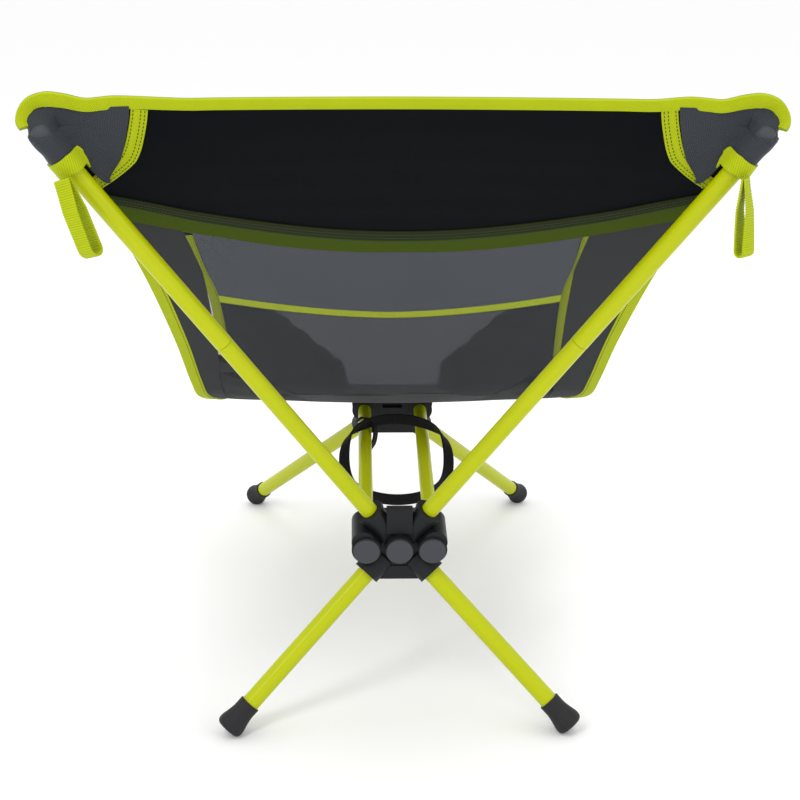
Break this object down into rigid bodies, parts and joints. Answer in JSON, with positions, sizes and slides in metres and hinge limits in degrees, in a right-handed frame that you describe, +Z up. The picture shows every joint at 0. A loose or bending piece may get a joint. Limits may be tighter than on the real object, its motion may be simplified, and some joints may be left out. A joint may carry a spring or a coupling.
{
  "type": "ultralight backpacking chair",
  "caption": "Low folding camp chair: hubs joined by spreader tubes, splayed legs with rubber feet, and poles that hold a mesh and cloth sling with pull loops.",
  "frame": {"origin": "on the floor, at the middle of the footprint of the whole chair", "axes": "+Z up, -Y towards the front of the seat, +X to the sitter's left"},
  "size_m": [0.5304, 0.5881, 0.5004],
  "materials": {
    "hub_plastic": "moulded, fine texture",
    "plug_plastic": "moulded, fine texture",
    "lime_tube": "satin coated aluminium tube",
    "rubber": "matte",
    "bare_aluminium": "bare",
    "elastic_cord": "braided elastic",
    "black_cloth": "plain weave",
    "band_cloth": "folded and stitched",
    "mesh_cloth": "open mesh",
    "grey_cloth": "coarse weave",
    "lime_webbing": "twill tape",
    "black_webbing": "flat webbing"
  },
  "bodies": {
    "frame": {"rear_hub": "hub_plastic", "front_hub": "hub_plastic", "rear_hub_plugs": "plug_plastic", "front_hub_plugs": "plug_plastic", "spreader_tube_left": "lime_tube", "spreader_tube_right": "lime_tube", "rear_pole_lower_left": "lime_tube", "rear_pole_lower_right": "lime_tube", "rear_pole_upper_left": "lime_tube", "rear_pole_upper_right": "lime_tube", "rear_ferrule_left": "bare_aluminium", "rear_ferrule_right": "bare_aluminium", "front_pole_left": "lime_tube", "front_pole_right": "lime_tube", "pole_tips_rear": "plug_plastic", "pole_tips_front": "plug_plastic", "shock_cord_rear_legs": "elastic_cord", "shock_cord_front_legs": "elastic_cord", "shock_cord_rear_poles": "elastic_cord", "shock_cord_front_poles": "elastic_cord", "back_panel": "black_cloth", "back_band": "band_cloth", "mesh_panel": "mesh_cloth", "seat_side_left": "grey_cloth", "seat_side_right": "grey_cloth", "seat_seam_tape": "lime_webbing", "front_panel": "grey_cloth", "top_binding": "lime_webbing", "front_binding": "lime_webbing", "side_tape_left": "lime_webbing", "side_tape_right": "lime_webbing", "pocket_rear_left": "grey_cloth", "pocket_rear_right": "grey_cloth", "pocket_front_left": "grey_cloth", "pocket_front_right": "grey_cloth", "pocket_tape_rear_left": "lime_webbing", "pocket_tape_rear_right": "lime_webbing", "pocket_band_left": "lime_webbing", "pocket_band_right": "lime_webbing"},
    "rear_leg_assembly_left": {"rear_leg_left": "lime_tube", "rear_foot_left": "rubber"},
    "rear_leg_assembly_right": {"rear_leg_right": "lime_tube", "rear_foot_right": "rubber"},
    "front_leg_assembly_left": {"front_leg_left": "lime_tube", "front_foot_left": "rubber"},
    "front_leg_assembly_right": {"front_leg_right": "lime_tube", "front_foot_right": "rubber"},
    "pull_loop_left": {"pull_loop_left": "lime_webbing"},
    "pull_loop_right": {"pull_loop_right": "lime_webbing"},
    "strap": {"keeper_strap": "black_webbing"}
  },
  "joints": [
    {"name": "rear_leg_pull_left", "type": "slide", "parent": "frame", "child": "rear_leg_assembly_left", "axis": [0.6703, 0.3101, -0.6741], "range_m": [0, 0.035]},
    {"name": "rear_leg_pull_right", "type": "slide", "parent": "frame", "child": "rear_leg_assembly_right", "axis": [-0.6703, 0.3101, -0.6741], "range_m": [0, 0.035]},
    {"name": "front_leg_pull_left", "type": "slide", "parent": "frame", "child": "front_leg_assembly_left", "axis": [0.4443, -0.7122, -0.5435], "range_m": [0, 0.035]},
    {"name": "front_leg_pull_right", "type": "slide", "parent": "frame", "child": "front_leg_assembly_right", "axis": [-0.4443, -0.7122, -0.5435], "range_m": [0, 0.035]},
    {"name": "pull_loop_swing_left", "type": "hinge", "parent": "frame", "child": "pull_loop_left", "pos_m": [0.224, 0.2888, 0.446], "axis": [1, 0, 0], "range_deg": [-10, 75]},
    {"name": "pull_loop_swing_right", "type": "hinge", "parent": "frame", "child": "pull_loop_right", "pos_m": [-0.224, 0.2888, 0.446], "axis": [1, 0, 0], "range_deg": [-10, 75]},
    {"name": "strap_slide", "type": "slide", "parent": "frame", "child": "strap", "axis": [0, -0.9914, 0.1305], "range_m": [-0.05, 0.03]}
  ]
}
